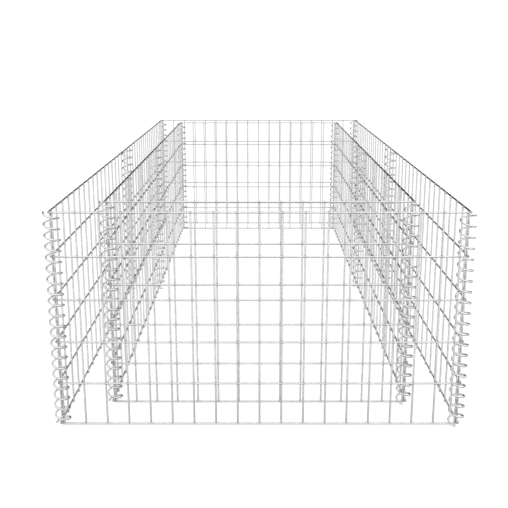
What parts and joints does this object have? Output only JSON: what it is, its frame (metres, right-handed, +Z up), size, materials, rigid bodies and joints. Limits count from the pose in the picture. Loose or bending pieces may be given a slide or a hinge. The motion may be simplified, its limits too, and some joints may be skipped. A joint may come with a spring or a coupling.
{
  "type": "gabion planter",
  "caption": "Raised planter of two rectangular rings of galvanised welded wire mesh, laced with wire spirals, with a stone channel between them and an open soil bed inside.",
  "frame": {"origin": "on the ground at the middle of the bed", "axes": "+Z up, +Y along the length from the front panel to the back panel, +X across the width to the right"},
  "size_m": [0.9424, 1.8382, 0.504],
  "materials": {
    "panel_wire": "galvanised, bright",
    "spiral_wire": "galvanised, bright"
  },
  "bodies": {
    "root": {"outer_front_panel": "panel_wire", "outer_back_panel": "panel_wire", "outer_left_front_panel": "panel_wire", "outer_left_rear_panel": "panel_wire", "outer_right_front_panel": "panel_wire", "outer_right_rear_panel": "panel_wire", "inner_front_panel": "panel_wire", "inner_back_panel": "panel_wire", "inner_left_front_panel": "panel_wire", "inner_left_rear_panel": "panel_wire", "inner_right_front_panel": "panel_wire", "inner_right_rear_panel": "panel_wire", "outer_front_left_spiral": "spiral_wire", "outer_front_right_spiral": "spiral_wire", "outer_back_left_spiral": "spiral_wire", "outer_back_right_spiral": "spiral_wire", "outer_left_middle_spiral": "spiral_wire", "outer_right_middle_spiral": "spiral_wire", "inner_front_left_spiral": "spiral_wire", "inner_front_right_spiral": "spiral_wire", "inner_back_left_spiral": "spiral_wire", "inner_back_right_spiral": "spiral_wire", "inner_left_middle_spiral": "spiral_wire", "inner_right_middle_spiral": "spiral_wire"}
  },
  "joints": []
}
